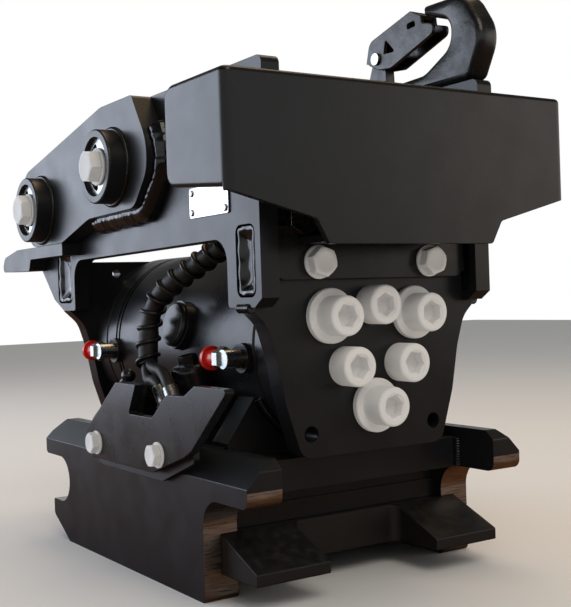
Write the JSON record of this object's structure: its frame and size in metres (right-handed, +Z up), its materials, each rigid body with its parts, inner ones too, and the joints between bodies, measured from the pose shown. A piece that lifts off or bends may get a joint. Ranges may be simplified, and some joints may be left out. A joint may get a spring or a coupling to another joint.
{
  "type": "tilting quick coupler",
  "caption": "Tilting quick coupler: a rotary actuator joins an arm frame with pin bosses and a folded front guard to a lower frame with hook seat, jaw and sliding wedge lock.",
  "frame": {"origin": "centre of the coupler's own box, on its underside", "axes": "+X forward towards the front guard, along the tilt axis; +Y left; +Z up"},
  "size_m": [0.6459, 0.378, 0.5593],
  "materials": {
    "black_paint": "satin black paint over steel",
    "black_gloss": "glossy black paint over weld",
    "forged_black": "black paint over a forging",
    "machined_steel": "bare machined steel",
    "zinc_plated": "zinc plated steel",
    "pin_steel": "ground steel",
    "hard_chrome": "hard chromed rod",
    "bronze": "cast bronze",
    "hose_rubber": "black hose cover",
    "packing_rubber": "black rubber",
    "red_plastic": "red moulded plastic",
    "bare_plate": "bare aluminium plate"
  },
  "bodies": {
    "upper_frame": {"side_plate_left": "black_paint", "side_plate_right": "black_paint", "ear_plate_left": "black_paint", "ear_plate_right": "black_paint", "ear_welds": "black_gloss", "pin_collars": "black_paint", "stick_pin": "pin_steel", "link_pin": "pin_steel", "pin_sleeves": "zinc_plated", "pin_washers": "zinc_plated", "pin_screws": "zinc_plated", "front_end_plate": "black_paint", "rear_end_plate": "black_paint", "top_cross_plate": "black_paint", "plug_welds": "black_gloss", "link_stop_bars": "black_paint", "front_cover": "black_paint", "cover_bracket": "black_paint", "cover_hangers": "black_paint", "cover_screws": "zinc_plated", "front_shaft_screws": "zinc_plated", "front_shaft_washers": "zinc_plated", "rear_shaft_screws": "zinc_plated", "rear_shaft_washers": "zinc_plated", "actuator_shaft": "black_paint", "rear_shaft_flange": "black_paint", "lifting_hook": "forged_black", "latch_pin": "zinc_plated", "data_plate": "bare_plate", "data_plate_rivets": "bare_plate", "hose_bulkhead": "zinc_plated"},
    "tool_frame": {"actuator_housing": "black_paint", "front_bearing": "bronze", "rear_bearing": "bronze", "ring_gear": "machined_steel", "access_plug": "black_paint", "port_fittings": "zinc_plated", "port_caps": "red_plastic", "relief_valve": "forged_black", "side_block_right": "black_paint", "side_block_left": "black_paint", "front_beam": "black_paint", "saddles": "black_paint", "wedge_guide": "black_paint", "wedge_cover": "black_paint", "rear_cross_plate": "black_paint", "guard_plate": "black_paint", "guard_seal": "packing_rubber", "guard_bosses": "black_paint", "guard_screws": "zinc_plated", "hose_rail": "forged_black", "hose_ferrules": "zinc_plated", "hose_bundle": "hose_rubber", "lock_cylinder": "black_paint", "cylinder_gland": "machined_steel"},
    "locking_wedge": {"wedge": "black_paint", "wedge_rod": "hard_chrome"},
    "piston": {"piston_sleeve": "machined_steel"},
    "hook_latch": {"hook_latch": "forged_black"}
  },
  "joints": [
    {"name": "tilt", "type": "hinge", "parent": "upper_frame", "child": "tool_frame", "pos_m": [0.05596, 0, 0.2234], "axis": [1, 0, 0], "range_deg": [-45, 45], "deforming": ["hose_bundle"]},
    {"name": "piston_stroke", "type": "slide", "parent": "upper_frame", "child": "piston", "axis": [1, 0, 0], "range_m": [-0.0301, 0.0301]},
    {"name": "wedge_stroke", "type": "slide", "parent": "tool_frame", "child": "locking_wedge", "axis": [1, 0, 0], "range_m": [-0.06, 0]},
    {"name": "latch_pivot", "type": "hinge", "parent": "upper_frame", "child": "hook_latch", "pos_m": [0.13596, 0.122, 0.5214], "axis": [0, 1, 0], "range_deg": [0, 16], "stiffness_Nm_per_rad": 2, "springref_deg": -17.19}
  ],
  "couplings": [
    {"joint": "piston_stroke", "follows": "tilt", "m_per_rad": 0.038197}
  ]
}
